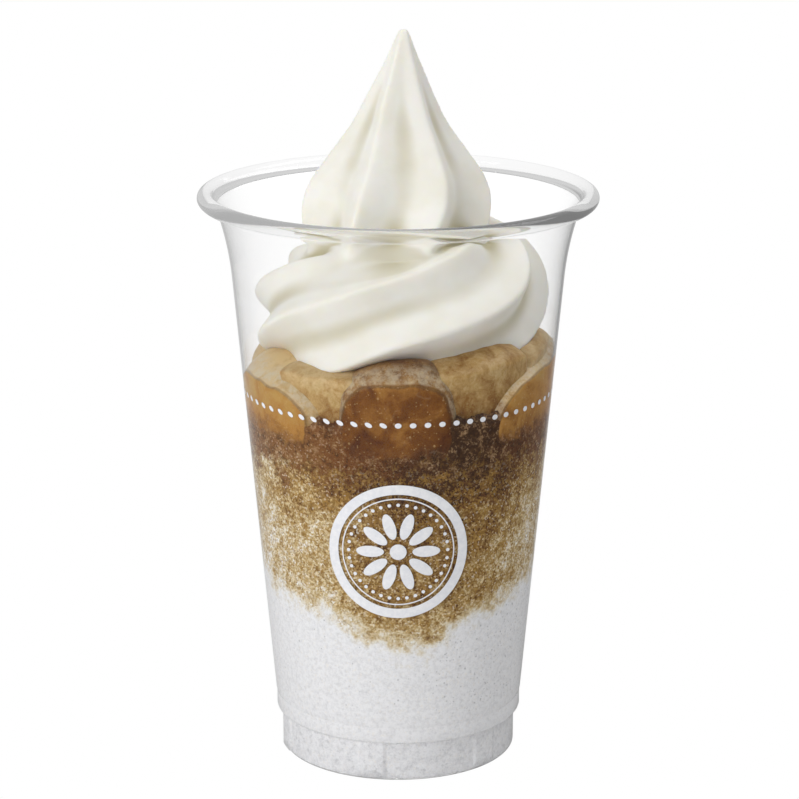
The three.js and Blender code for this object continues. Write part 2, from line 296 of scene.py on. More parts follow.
def smoothed(mesh, values, rounds):
    """Evens out numbers on the points of a mesh with those of the points next to them."""
    pairs = np.empty(len(mesh.edges) * 2, int)
    mesh.edges.foreach_get("vertices", pairs)
    here, there = np.concatenate([pairs.reshape(-1, 2), pairs.reshape(-1, 2)[:, ::-1]]).T
    count = np.bincount(here, minlength=len(values))
    for _ in range(rounds):
        total = [np.bincount(here, column[there], len(values)) for column in values.T]
        values = 0.5 * values + 0.5 * (np.array(total) / count).T
    return values


def outward(mesh):
    """The direction that each point of a mesh faces."""
    normals = np.empty(len(mesh.vertices) * 3)
    mesh.vertices.foreach_get("normal", normals)
    return normals.reshape(-1, 3)


# ---- shader helpers ----
def new_material(name):
    material = bpy.data.materials.new(name)
    material.use_nodes = True
    shader = material.node_tree.nodes["Principled BSDF"]
    place = node(material.node_tree, "ShaderNodeTexCoord").output("Object")
    return material, shader, place


def attribute(place, name):
    """A number stored on the points of a mesh."""
    return node(place.tree, "ShaderNodeAttribute", attribute_name=name).output("Fac")


def noise(place, size, detail=2.0, roughness=0.5, distortion=0.0):
    """Soft noise whose blobs are about this size, in metres."""
    return step("ShaderNodeTexNoise", {
        "Vector": place, "Scale": 1 / size, "Detail": detail, "Roughness": roughness,
        "Distortion": distortion})


def uneven(place, size, swing, *how):
    """Soft noise round 0, over a range as wide as this."""
    return (noise(place, size, *how) - 0.5) * swing


def cells(place, size):
    """Random cells of about this size: how near a cell's middle is, and its three numbers."""
    made = step("ShaderNodeTexVoronoi", {"Vector": place, "Scale": 1 / size}, feature="F1")
    return made, parts_of(made.output("Color"))


def ramp(value, stops):
    """A colour ramp of (position, colour) stops."""
    made = step("ShaderNodeValToRGB", {0: value})
    band = made.socket.node.color_ramp
    while len(band.elements) < len(stops):
        band.elements.new(0.5)
    for element, (position, colour) in zip(band.elements, stops):
        element.position = position
        element.color = (*colour, 1.0)
    return made


def mix(factor, a, b):
    """Mixes two colours."""
    return step("ShaderNodeMix", {0: factor, 6: a, 7: b}, data_type="RGBA")


def span(value, low, high, to_low=0.0, to_high=1.0, kind="SMOOTHSTEP"):
    """Takes a number from one range to another, and holds it there."""
    labels = ("Value", "From Min", "From Max", "To Min", "To Max")
    values = dict(zip(labels, (value, low, high, to_low, to_high)))
    return step("ShaderNodeMapRange", values, interpolation_type=kind)


def bump(height, distance, strength):
    return step("ShaderNodeBump", {"Height": height, "Distance": distance, "Strength": strength})


def by_ray(surface, others):
    """Puts another shader in place of the surface's own for each of these kinds of ray."""
    path = node(surface.tree, "ShaderNodeLightPath")
    for ray, shader in others.items():
        surface = step("ShaderNodeMixShader", {0: path.output(ray), 1: surface, 2: shader})
    return surface


# ---- outlines ----
def spaced(start, end, count):
    return np.linspace(start, end, count + 1)


def wall_radius(z):
    """Outside radius of the cup's wall at a height."""
    flare = np.maximum(0, z - WALL["flare_start"])
    return WALL["radius"] + WALL["taper"] * (z - WALL["start"]) + WALL["flare"] * flare ** 2


def arc(centre, across, half, start, end, count):
    """Points on an arc of an ellipse, angles in degrees."""
    angles = np.radians(spaced(start, end, count))
    return [(centre[0] + across * math.cos(a), centre[1] + half * math.sin(a)) for a in angles]


def foot_outline(inset):
    """The outside of the foot and band from the standing ring up to the wall, set in."""
    fillet = FOOT["fillet"]
    corner = arc((FOOT["radius"] - fillet, fillet), fillet - inset, fillet - inset, -90, 0, 6)
    start = WALL["start"]
    return corner + [(radius * MM - inset, z * MM) for radius, z in FOOT_PROFILE] + [
        (wall_radius(start) - inset, start),
        (wall_radius(start + 0.5 * MM) - inset, start + 0.5 * MM)]


def ribs_on(outline, under):
    """1 for the points of an outline that the ribs stand on, and 0 for the others."""
    first = len(under) + 6
    return [1.0 if first <= i < first + 6 else 0.0 for i in range(len(outline))]


# ---- Geometry Nodes: a turned solid ----
def grid_over(tree, given, sides):
    """A grid with a row for each point of the given mesh and a column for each step round.

    Also returns a column's angle, and a function that reads a number stored on a row's point.
    """
    rows = given["Geometry"]
    count = node(tree, "GeometryNodeAttributeDomainSize", {0: rows})
    grid = node(tree, "GeometryNodeMeshGrid", {"Vertices X": sides + 1.0, "Vertices Y": count})
    index = node(tree, "GeometryNodeInputIndex")
    row = index % count
    angle = calc("FLOOR", (index + 0.5) / count) * TURN / sides

    def read(label):
        field = node(tree, "GeometryNodeInputNamedAttribute", {"Name": label}, data_type="FLOAT")
        return node(tree, "GeometryNodeSampleIndex",
                    {"Geometry": rows, "Value": field, "Index": row}, data_type="FLOAT")
    return grid, angle, read


def bend(given, grid, spot):
    """Ends a tree with its grid moved to these places, and the seams closed."""
    bent = step("GeometryNodeSetPosition", {"Geometry": grid, "Position": spot})
    closed = step("GeometryNodeMergeByDistance", {"Geometry": bent, "Distance": 0.002 * MM})
    return close_tree(given, closed)


def turned_tree():
    """Turns an outline round the cup's axis, and stands ribs proud where the outline allows.

    The outline is a line of points with a radius, a height and a rib on each: 1 where a rib
    stands proud in full and 0 where the surface stays round.
    """
    tree, given = geometry_tree("turned_solid", {
        "Segments": ("Int", 480), "Ribs": ("Int", 6), "Rib Width": ("Float", 13.0),
        "Rib Height": ("Float", 0.4 * MM), "Rib Start": ("Float", -103.0)})
    grid, angle, read = grid_over(tree, given, given["Segments"])
    pitch = 360.0 / given["Ribs"]
    shifted = calc("DEGREES", angle) - given["Rib Start"] + pitch * 0.5
    off = abs(shifted % pitch - pitch * 0.5)
    half = given["Rib Width"] * 0.5
    rise = span(off, half - 0.7, half + 0.7, given["Rib Height"], 0.0)
    radius = read("radius") + rise * read("rib")
    return bend(given, grid, polar(radius, angle, read("height")))


TURNED = turned_tree()


def turned(name, outline, rib=None):
    """A closed turned solid from (radius, height) points, with its ribs where rib is 1."""
    radius, height = zip(*outline)
    source = stations(name, radius=radius, height=height, rib=rib or [0.0] * len(outline))
    return face_outward(run_tree(name, TURNED, source))


# ---- Geometry Nodes: the piped rope of soft-serve ----
def flute_of(angle, crests, roundness):
    """0 on a crest, rising to about 1 in the middle of the flute between two crests."""
    s = calc("SINE", angle * crests * 0.5)
    return calc("SQRT", s * s + roundness * roundness) - roundness


def piped_tree():
    """Sweeps a star-shaped nozzle's section along stations, for a coil and for a drawn-out tip.

    Every station is a point with numbers on it: azimuth, reach and height place the section's
    centre, wide and tall are its half sizes, phase turns its crests, spread sets the front ones
    wider apart, and fluted is the share of the flutes' depth.
    A lying section stands across the path. A flat section lies level, for the tip.
    """
    tree, given = geometry_tree("piped_rope", {
        "Sides": ("Int", 240), "Crests": ("Float", 6.0), "Depth": ("Float", 0.23),
        "Roundness": ("Float", 0.07), "Fullness": ("Float", 0.8), "Flat": ("Float", 0.0)})
    grid, turn, read = grid_over(tree, given, given["Sides"])
    turn = turn - math.pi
    c, s = calc("COSINE", turn), calc("SINE", turn)
    azimuth, reach, height = read("azimuth"), read("reach"), read("height")
    crest_turn = turn - read("phase") - c * read("spread")
    flute = flute_of(crest_turn, given["Crests"], given["Roundness"])
    size = 1.0 - given["Depth"] * read("fluted") * flute
    wide = read("wide") * size
    across = wide * (calc("SIGN", c) * abs(c) ** given["Fullness"])
    lying = polar(reach + across, azimuth, height + read("tall") * size * s)
    x0, y0 = reach * calc("COSINE", azimuth), reach * calc("SINE", azimuth)
    flat = vector(x0 + wide * c, y0 + wide * s, height)
    spot = node(tree, "ShaderNodeMix", {0: given["Flat"], 4: lying, 5: flat}, data_type="VECTOR")
    return bend(given, grid, spot)


def eased(rows, at, column):
    """Reads a table as a smooth curve through its rows."""
    columns = np.array(rows, float).T
    x, y = columns[0], columns[column]
    slope = np.gradient(y, x)
    i = np.clip(np.searchsorted(x, at) - 1, 0, len(x) - 2)
    h = x[i + 1] - x[i]
    t = np.clip((at - x[i]) / h, 0, 1)
    return ((2 * t ** 3 - 3 * t ** 2 + 1) * y[i] + (t ** 3 - 2 * t ** 2 + t) * h * slope[i]
            + (3 * t ** 2 - 2 * t ** 3) * y[i + 1] + (t ** 3 - t ** 2) * h * slope[i + 1])


# Along the coil: azimuth in degrees, reach, height, half width, half height in millimetres, and
# the angle of its leading crest round the section.
COIL = [(-305, 11, 103, 8, 5, -215), (-280, 12.5, 104, 17, 10, -185),
        (-240, 13, 104.8, 19.8, 12.8, -125), (-205, 12.8, 105.6, 21, 14.6, -72),
        (-180, 12.7, 106, 21.3, 16.2, -41), (-164, 12.7, 106, 21.7, 16.2, -18),
        (-143, 12.8, 106.4, 22, 16.8, 8), (-113, 12.9, 106.8, 21.8, 16.6, 33),
        (-90, 13, 107.3, 21.6, 15.2, 53), (-70, 13.1, 108, 21.6, 16.2, 62),
        (-49, 13.3, 108.8, 21.5, 16.6, 70), (-37, 13.4, 109.2, 21.5, 16.8, 77),
        (-23, 13.4, 109.7, 21.5, 17, 90), (-10, 13.4, 110.2, 21.5, 17.3, 109),
        (0, 13.4, 110.5, 21.5, 17.4, 127), (40, 12.4, 112, 20.8, 16, 174),
        (90, 10.5, 114.5, 19, 13.5, 225), (135, 8, 117, 17.5, 10.5, 275),
        (180, 5.5, 118.5, 15.4, 8, 325), (225, 3, 119, 14, 6, 375), (270, 0, 119, 11, 5, 425)]
# Up the tip: height and radius in millimetres, the turn of its crests, how far it leans, how much
# wider apart its crests stand in front than behind, and the share of the flutes' full depth.
TIP = [(110, 17.0, -14, -0.5, 0, 0.2), (117, 19.6, -10, -0.5, 0, 0.5),
       (121, 20.9, -7, -0.5, 0, 0.9), (128, 22.1, -1, -0.5, 0, 1), (133, 21.9, 3, -0.4, 0.05, 1),
       (137.5, 20.0, 5, -0.2, 0.1, 1), (142.5, 16.3, 6, 0, 0.14, 1), (150, 10.8, 5, 0.3, 0.22, 1),
       (155.5, 8.0, 4, 0.5, 0.25, 1), (161, 5.4, 4, 0.8, 0.25, 1),
       (166.3, 3.0, 4, 1.05, 0.25, 1), (169.4, 1.7, 4, 1.15, 0.25, 1),
       (170.6, 0.9, 4, 1.2, 0.25, 1), (171, 0.02, 4, 1.2, 0.25, 1)]
ROPE_UNITS = {"reach": MM, "height": MM, "wide": MM, "tall": MM, "phase": math.radians(1)}


def curves(rows, at, *names):
    """Reads the columns after a table's first at these numbers, as smooth curves."""
    return {name: eased(rows, at, column) * ROPE_UNITS.get(name, 1)
            for column, name in enumerate(names, 1)}


def soft_serve_mesh():
    """One closed mesh: the coil and the tip are piped, then fused."""
    rope = piped_tree()
    count = COIL_STATIONS
    along = np.linspace(COIL[0][0], COIL[-1][0], count)
    end = np.minimum(np.arange(count), np.arange(count)[::-1])
    taper = np.sqrt(np.clip(1 - (1 - np.minimum(end, 14) / 14) ** 2, 0, 1))
    coil = curves(COIL, along, "reach", "height", "wide", "tall", "phase")
    coil["wide"] *= taper
    coil["tall"] *= taper
    coil = stations("coil_path", azimuth=np.radians(along), spread=np.zeros(count),
                    fluted=np.ones(count), **coil)
    coil = run_tree("coil", rope, coil)
    heights = np.concatenate([np.linspace(110, 168, 150), np.linspace(168.4, 171, 12)])
    tip = curves(TIP, heights, "wide", "phase", "reach", "spread", "fluted")
    tip["phase"] += math.radians(-90 - 180 / 7)
    tip = stations("tip_path", azimuth=heights * 0, height=heights * MM, tall=heights * 0, **tip)
    tip = run_tree("tip", rope, tip, crests=7.0, depth=0.25, roundness=0.05, flat=1.0)
    return mark_hollows(soften_joint(fuse("soft_serve", coil, tip)))


def fuse(name, *meshes):
    """Joins overlapping meshes into one closed skin."""
    joined = bmesh.new()
    for mesh in meshes:
        joined.from_mesh(mesh)
    holes = [e for e in joined.edges if e.is_boundary]
    bmesh.ops.holes_fill(joined, edges=holes, sides=0)
    bmesh.ops.recalc_face_normals(joined, faces=joined.faces)
    both = bpy.data.meshes.new(name)
    joined.to_mesh(both)
    joined.free()
    holder = new_object(name, both)
    remesh = holder.modifiers.new("skin", "REMESH")
    remesh.mode = "VOXEL"
    remesh.voxel_size = SKIN_VOXEL
    smooth = holder.modifiers.new("smooth", "SMOOTH")
    smooth.factor = 0.5
    smooth.iterations = 8
    return take_mesh(name, holder)


def below_skin(mesh, places, rounds):
    """How far each point lies below its smoothed surroundings."""
    return ((smoothed(mesh, places, rounds) - places) * outward(mesh)).sum(1)


def beside(value, middle, reach, most):
    """1 near a middle, falling to 0 away from it, over a reach on either side."""
    return np.clip(most - np.abs(value - middle) / reach, 0, 1)


def soften_joint(mesh):
    """Rounds off the crease where the front of the tip sits on the coil, and fills its hollow."""
    places = coordinates(mesh)
    x, y, z = places.T / MM
    radius = np.hypot(x, y)
    left = np.clip((-x * 0.6 - y * 0.8) / np.maximum(radius, 1), 0, 1)
    share = beside(z, 121, 4, 1.6) * beside(radius, 18, 5, 1.6) * np.clip(left * 2.2 - 0.9, 0, 1)
    places = places + share[:, None] * (smoothed(mesh, places, 90) - places)
    move_points(mesh, places)
    front = np.clip((-x * 0.25 - y * 0.97) / np.maximum(radius, 1), 0, 1)
    share = beside(z, 119, 5, 1.7) * beside(radius, 20, 5, 1.7) * np.clip(front * 2.4 - 1.2, 0, 1)
    fill = np.clip(below_skin(mesh, places, 240), 0, None) * share
    move_points(mesh, places + 1.3 * smoothed(mesh, fill[:, None], 12) * outward(mesh))
    return mesh


def mark_hollows(mesh):
    """Stores on every point how far it lies below its smoothed surroundings, in millimetres, for
    the painted shade in the flutes.
    """
    depth = below_skin(mesh, coordinates(mesh), 120) / MM
    return store(mesh, {"hollow": smoothed(mesh, depth[:, None], 8)[:, 0]})


# ---- stage: floor, lights and camera ----
def build_world(scene):
    """White at eye level where it is looked at, grey overhead, softer where it lights."""
    world = bpy.data.worlds.new("studio")
    scene.world = world
    world.use_nodes = True
    sky = world.node_tree
    path = node(sky, "ShaderNodeLightPath")
    x, y, z = parts_of(node(sky, "ShaderNodeTexCoord").output("Generated"))
    gloss = span(y, -0.3, 0.8, *WORLD_GLOSS) * span(x, 0.2, 0.7, 1.0, SHADE_GLOSS)
    backdrop = span(z, 0.2, 0.6, CLEAR_GLOW, 0.45)
    strength = span(x, -0.2, 0.8, 1.06 * WORLD_LIGHT, 0.6 * WORLD_LIGHT)
    for ray, value in (("Is Glossy Ray", gloss), ("Is Transmission Ray", backdrop),
                       ("Is Camera Ray", 1.0)):
        strength = node(sky, "ShaderNodeMix", {0: path.output(ray), 2: strength, 3: value},
                        data_type="FLOAT")
    feed_all(sky.nodes["Background"], {"Color": (1, 1, 1, 1), "Strength": strength})


def build_floor():
    """A pale matt floor that looks white, and dim where it is mirrored in front of the object."""
    mesh = bpy.data.meshes.new("floor")
    far = 3.0
    mesh.from_pydata([(-far, -far, 0), (far, -far, 0), (far, far, 0), (-far, far, 0)], [],
                     [(0, 1, 2, 3)])
    floor = new_object("floor", mesh)
    material, shader, place = new_material("floor_white")
    feed_all(shader, {"Base Color": (0.85, 0.85, 0.85, 1), "Roughness": 0.9})
    x, y, _ = parts_of(place)
    far_off = length_of(x, y) + MM
    behind = span(y / far_off, 0.5, 0.85, *FLOOR_GLOSS)
    right = span(x / far_off, 0.2, 0.7, 1.0, SHADE_GLOSS)
    glows = {ray: node(place.tree, "ShaderNodeEmission", {"Strength": strength})
             for ray, strength in (("Is Glossy Ray", behind * right),
                                   ("Is Transmission Ray", CLEAR_GLOW), ("Is Camera Ray", 1.0))}
    surface = by_ray(Value(shader.outputs[0]), glows)
    feed(place.tree.nodes["Material Output"].inputs["Surface"], surface)
    mesh.materials.append(material)


def build_stage():
    scene = bpy.context.scene
    scene.view_settings.view_transform = "Standard"
    build_world(scene)
    build_floor()
    for name, place, aim, size, power in LIGHTS:
        data = bpy.data.lights.new(name, "AREA")
        data.shape = "RECTANGLE"
        data.size, data.size_y = size
        data.energy = power
        lamp = new_object(name, data)
        lamp.location = place
        lamp.rotation_euler = (Vector(aim) - Vector(place)).to_track_quat("-Z", "Y").to_euler()
    data = bpy.data.cameras.new("camera")
    data.lens = CAMERA["lens"]
    data.sensor_width = 36
    data.sensor_fit = "HORIZONTAL"
    camera = new_object("camera", data)
    camera.location = CAMERA["place"]
    camera.rotation_euler = (math.radians(90 - CAMERA["tilt"]), 0, 0)
    scene.camera = camera


# ---- the cup ----
def cup_mesh():
    """The whole cup: under the foot, up the outside, round the rim, down the inside, its floor."""
    heights = np.concatenate([spaced(15.2 * MM, 113 * MM, 9), spaced(114 * MM, WALL["end"], 10)])
    punt, punt_radius, ring = FOOT["punt"], FOOT["punt_radius"], FOOT["ring"]
    under = [(0, punt), (punt_radius * 0.5, punt), (punt_radius, punt), (ring, 0)]
    floor = [(ring - SHEET * 0.2, SHEET), (punt_radius - SHEET * 0.4, punt + SHEET),
             (punt_radius * 0.5, punt + SHEET), (0, punt + SHEET)]
    wall = [(wall_radius(z), z) for z in heights]
    inner_wall = [(wall_radius(z) - SHEET, z) for z in heights[::-1]]
    middle = (RIM["radius"] - RIM["across"], RIM["top"] - RIM["half"])
    roll = arc(middle, RIM["across"], RIM["half"], RIM["start"], RIM["end"], 40)
    outline = (under + foot_outline(0) + wall + roll + inner_wall
               + foot_outline(SHEET)[::-1] + floor)
    return turned("cup", outline, ribs_on(outline, under))


def clear_plastic(name):
    """Clear plastic that lets lamps and soft light through to what is behind it."""
    material, shader, place = new_material(name)
    feed_all(shader, {
        "Base Color": (0.99, 0.99, 0.99, 1), "Transmission Weight": 1.0, "IOR": WALL_IOR,
        "Roughness": span(noise(place, 9 * MM), 0.35, 0.65, 0.0, 0.01),
        "Normal": bump(noise(place, 20 * MM, 1), 0.03 * MM, 0.1)})
    solid = Value(shader.outputs[0])
    clear = node(place.tree, "ShaderNodeBsdfTransparent")
    surface = by_ray(solid, {"Is Glossy Ray": clear, "Is Transmission Ray": solid,
                             "Is Diffuse Ray": clear, "Is Shadow Ray": clear})
    depth = node(place.tree, "ShaderNodeVolumeAbsorption",
                 {"Color": (0, 0, 0, 1), "Density": PLASTIC_DENSITY})
    feed_all(place.tree.nodes["Material Output"], {"Surface": surface, "Volume": depth})
    return material


# ---- shaved ice ----
def ragged(places, size, seed):
    """Uneven numbers round 0 that change over about this length."""
    x, y, z = (places / size).T
    wave = np.sin(x + 1.3 * seed) * np.cos(1.1 * y - seed) + np.sin(0.9 * z + 1.7 * x + seed)
    return (wave + 0.6 * np.sin(2.3 * y + 2.1 * z) * np.cos(1.9 * x + 2 * seed)) / 2.6


def syrup_line(angle):
    """Height at the wall where white ice turns to syrup ice, at an angle in radians."""
    waves = 2.2 * np.sin(3 * angle + 0.6) + 1.6 * np.sin(5 * angle + 2.1) + 1.1 * np.sin(8 * angle)
    lobe = 15 * np.maximum(0, np.cos(angle + math.pi / 2)) ** 3
    return (51 + waves - lobe) * MM


def bowl(share):
    """Height of the border between the two ices, this share of the way out to the wall."""
    return (46 + 5 * share ** 2) * MM


def grainy_tree():
    """Pits a surface between grains of about one size, and hollows it a little more broadly."""
    tree, given = geometry_tree("grainy_skin", {
        "Grain": ("Float", 0.6 * MM), "Relief": ("Float", 0.2 * MM), "Seed": ("Float", 0.0)})
    here = node(tree, "GeometryNodeInputPosition")
    place = step("ShaderNodeVectorMath", {0: here, 1: vector(given["Seed"])}, operation="ADD")
    fine = step("ShaderNodeTexVoronoi", {"Vector": place, "Scale": 1.0 / given["Grain"]},
                feature="F1")
    broad = step("ShaderNodeTexNoise",
                 {"Vector": place, "Detail": 3.0, "Scale": 0.2 / given["Grain"]})
    hollow = calc("MAXIMUM", broad - 0.52, 0.0)
    depth = calc("MINIMUM", fine ** 2.0 * 1.1 + hollow * 4.0, 2.0) * given["Relief"]
    offset = step("ShaderNodeVectorMath",
                  {0: node(tree, "GeometryNodeInputNormal"), "Scale": depth * -1.0},
                  operation="SCALE")
    moved = step("GeometryNodeSetPosition", {"Geometry": given["Geometry"], "Offset": offset})
    return close_tree(given, moved)


GRAINY = grainy_tree()


def round_places(mesh):
    """Every point's place, and its radius, height and angle round the axis."""
    places = coordinates(mesh)
    x, y, z = places.T.copy()
    return places, np.hypot(x, y), z, np.arctan2(y, x)


def raise_points(mesh, places, z, raised, where=True):
    """Moves points up or down, along the slope of the wall."""
    stretch = (wall_radius(raised) - ICE_INSET) / (wall_radius(z) - ICE_INSET)
    places[:, :2] *= np.where(where, stretch, 1)[:, None]
    places[:, 2] = raised
    move_points(mesh, places)


def white_ice_mesh():
    """Fills the cup's foot and wall up to the wavy line, reaching just into the plastic."""
    inset, top = ICE_INSET, ICE_BORDER
    start = WALL["start"] + 0.5 * MM
    side = [(wall_radius(z) - inset, z) for z in spaced(start, top, 70)]
    edge = side[-1][0] - 0.02 * MM
    side.append((edge, top + 0.02 * MM))
    over = [(edge * t, bowl(t)) for t in np.linspace(1, 0, 40)[1:]]
    floor = FOOT["punt"] + inset
    under = [(0, floor), (FOOT["punt_radius"] * 0.6, floor),
             (FOOT["punt_radius"] - 0.1 * MM, floor), (FOOT["ring"], inset)]
    outline = under + foot_outline(inset) + side + over
    mesh = turned("white_ice", outline, ribs_on(outline, under))
    places, radius, z, turn = round_places(mesh)
    on_wall = radius > wall_radius(z) - inset - 0.02 * MM
    share = np.where(on_wall, (z - start) / (top - start), (radius / edge) ** 2)
    share = np.where(z < start, 0, np.clip(share, 0, 1))
    raise_points(mesh, places, z, z + share * (syrup_line(turn) - top), z >= start)
    return run_tree("white_ice", GRAINY, mesh, grain=0.55 * MM, relief=0.07 * MM, seed=1.0)


def syrup_ice_mesh():
    """From the wavy line up to the uneven shoulder among the jelly pieces."""
    low, top = ICE_BORDER, ICE_SHOULDER
    side = [(wall_radius(z) - ICE_INSET, z) for z in spaced(low, top, 80)]
    edge, rim = side[0][0], side[-1][0]
    under = [(edge * t, bowl(t) - 0.4 * MM) for t in np.linspace(0, 1, 24)[:-1]]
    under.append((edge - 0.03 * MM, low - 0.1 * MM))
    round_off = arc((rim - 4 * MM, top), 4 * MM, 3 * MM, 0, 80, 14)[1:]
    over = [(round_off[-1][0] * t, top + (3 + 2 * (1 - t)) * MM) for t in np.linspace(1, 0, 44)[1:]]
    mesh = turned("syrup_ice", under + side + round_off + over)
    places, radius, z, turn = round_places(mesh)
    on_wall = radius > wall_radius(z) - ICE_INSET - 0.02 * MM
    lowered = np.where(on_wall, (top - z) / (top - low), (radius / edge) ** 2)
    upper = (z > top - 0.001 * MM) | (~on_wall & (z > 60 * MM))
    lowered = np.where(upper, 0, np.clip(lowered, 0, 1))
    raised = z + lowered * (syrup_line(turn) - low - 0.3 * MM)
    lift = 1.1 * np.sin(4 * turn + 1) + 0.8 * np.sin(7 * turn) + 1.6 * ragged(places, 1.4 * MM, 4)
    raised += lift * MM * np.clip((z - 70 * MM) / (top - 70 * MM), 0, 1) * (radius / rim)
    raise_points(mesh, places, z, raised)
    return run_tree("syrup_ice", GRAINY, mesh, grain=0.6 * MM, relief=0.14 * MM, seed=2.0)


def toward(place, degrees):
    """Cosine of the angle round the axis from a heading, clockwise from the front, to a point."""
    x, y, _ = parts_of(place)
    heading = math.radians(degrees)
    along = x * math.sin(heading) - y * math.cos(heading)
    return along / calc("MAXIMUM", length_of(x, y), 1 * MM)


def near(place, degrees, power=1.0):
    """1 at this heading, less to both sides and 0 on the far half of the cup."""
    facing = calc("MAXIMUM", toward(place, degrees), 0.0)
    return facing if power == 1.0 else facing ** power


def height_of(place):
    """Height in millimetres."""
    return parts_of(place)[2] / MM


def soak(place):
    """How soaked with syrup the ice is: 0 for clean white ice, 1 for the darkest brown.

    Also returns how far it is over from white to brown at the ragged line between the two.
    """
    z = height_of(place)
    line = 45.0 + toward(place, 0) * -4.0 + near(place, 2, 10.0) * -8.0
    rise = span(z - line + uneven(place, 4 * MM, 17.0, 4, 0.65), -4.0, 6.0)
    dark_side = near(place, 12, 4.0) * span(z, 34.0, 56.0, 0.55, 1.0)
    upper = span(z, 58.0, 80.0) * (near(place, 30) * 0.28 + 0.16)
    amount = rise * (dark_side * 0.42 + 0.3 + upper)
    return amount + uneven(place, 9 * MM, 0.7, 3, 0.6) * rise, rise


def bubble_and_shade_share(place, height, clean):
    """Small dark bubbles in the clean ice, a few everywhere and most of them crowded on the side
    away from the key light as painted shade.
    """
    share = 0.0
    # painted shade: far more dark bubbles towards the side away from the key light
    often = near(place, 55, 5.0) * -0.5 + 0.97
    for size in (1.2 * MM, 0.8 * MM):
        distance, colour = cells(place, size)
        share = calc("MAXIMUM", share, (colour[0] > often) * span(distance, 0.26, 0.12))
    return share * 0.6 * clean * span(height, 14.0, 18.0)


def ice_colour(place):
    """Colour of packed grains of shaved ice, each taking up the syrup differently.

    Also returns the random numbers of the fine grains, and the place that they are read at.
    """
    amount, rise = soak(place)
    height = height_of(place)
    tangled = step("ShaderNodeTexNoise", {"Vector": place, "Scale": 1 / (1.1 * MM), "Detail": 3.0})
    wander = step("ShaderNodeVectorMath", {0: tangled.output("Color"), "Scale": 0.5 * MM},
                  operation="SCALE")
    grain_place = step("ShaderNodeVectorMath", {0: place, 1: wander}, operation="ADD")
    _, one = cells(grain_place, 0.4 * MM)
    _, two = cells(grain_place, 0.95 * MM)

    # grains between white, amber and dark brown, calmer near the jelly
    calm = span(height, 74.0, 84.0, 1.0, 0.6)
    swing = one[0] * 0.62 + two[1] * 0.3 - 0.46 + uneven(place, 3.4 * MM, 2.4, 5, 0.75)
    colour = ramp(amount + swing * rise * calm * 0.54, ICE_STOPS)
    golden = span(one[2] + uneven(place, 2.6 * MM, 2.4, 4, 0.7), 0.45, 0.8)
    colour = mix(golden * rise * calm * 0.5, colour, ICE_GOLDEN)

    # the wet band of syrup smeared on the wall below the jelly
    edge = near(place, -72, 6.0) * 2.5 + uneven(place, 3.4 * MM, 34.0, 5, 0.7)
    wet_band_and_top_shade = span(height + edge, 72.0, 79.0, 0.0, 0.9)
    smear = ramp(span(toward(place, 25), 0.5, 1.0, kind="LINEAR"), SMEAR_STOPS)
    flecks = one[1] * 0.5 + 0.25 + uneven(place, 2.4 * MM, 3.0, 5, 0.75)
    smear = mix(span(flecks, 0.55, 1.0, 0.0, 0.75), smear, SMEAR_LIGHT)
    smear = mix(span(flecks, 0.45, 0.05, 0.0, 0.8), smear, SMEAR_DARK)
    colour = mix(wet_band_and_top_shade, colour, smear)

    # single dark grains, and painted glints: single grains lit up as if catching the light
    colour = mix((one[2] > 0.78) * rise * 0.3 * calm, colour, ICE_CRUSHED)
    painted_glint = (one[1] > 0.9) * (rise * 0.45 + 0.1)
    painted_glint = painted_glint * span(amount, 0.55, 0.95, 1.0, 0.35) * span(height, 68.0, 82.0, 1.0, 0.25)
    colour = mix(painted_glint, colour, mix(one[0], *ICE_PAINTED_GLINTS))

    # grey mottling, and dark bubbles where the ice is clean, crowded as painted shade on the side
    # away from the key light
    clean = 1.0 - rise
    mottle = span(noise(place, 1.0 * MM, 5, 0.85), 0.4, 0.72, 0.0, 0.6)
    icy = span(height, 12.5, 8.5) * span(noise(place, 1.4 * MM, 5, 0.85), 0.42, 0.7, 0.0, 0.9)
    colour = mix(calc("MAXIMUM", mottle, icy) * clean, colour, ICE_GREY)
    colour = mix(bubble_and_shade_share(place, height, clean), colour, ICE_BUBBLE_SHADE)
    return colour, one, grain_place


def ice_material(name):
    """Shaved ice: packed grains with a fine glittering skin, and glints painted into their colour.
    """
    material, shader, place = new_material(name)
    colour, one, grain_place = ice_colour(place)
    rough = noise(grain_place, 0.5 * MM, 3, 0.6) + one[0] * 0.5
    feed_all(shader, {
        "Base Color": colour, "Roughness": span(one[1], 0, 1, 0.35, 0.75, kind="LINEAR"),
        "Specular IOR Level": 0.12, "Subsurface Weight": 0.1,
        "Subsurface Radius": (1.0, 0.9, 0.8), "Subsurface Scale": 0.6 * MM,
        "Normal": bump(rough, 0.15 * MM, 0.6)})
    return material


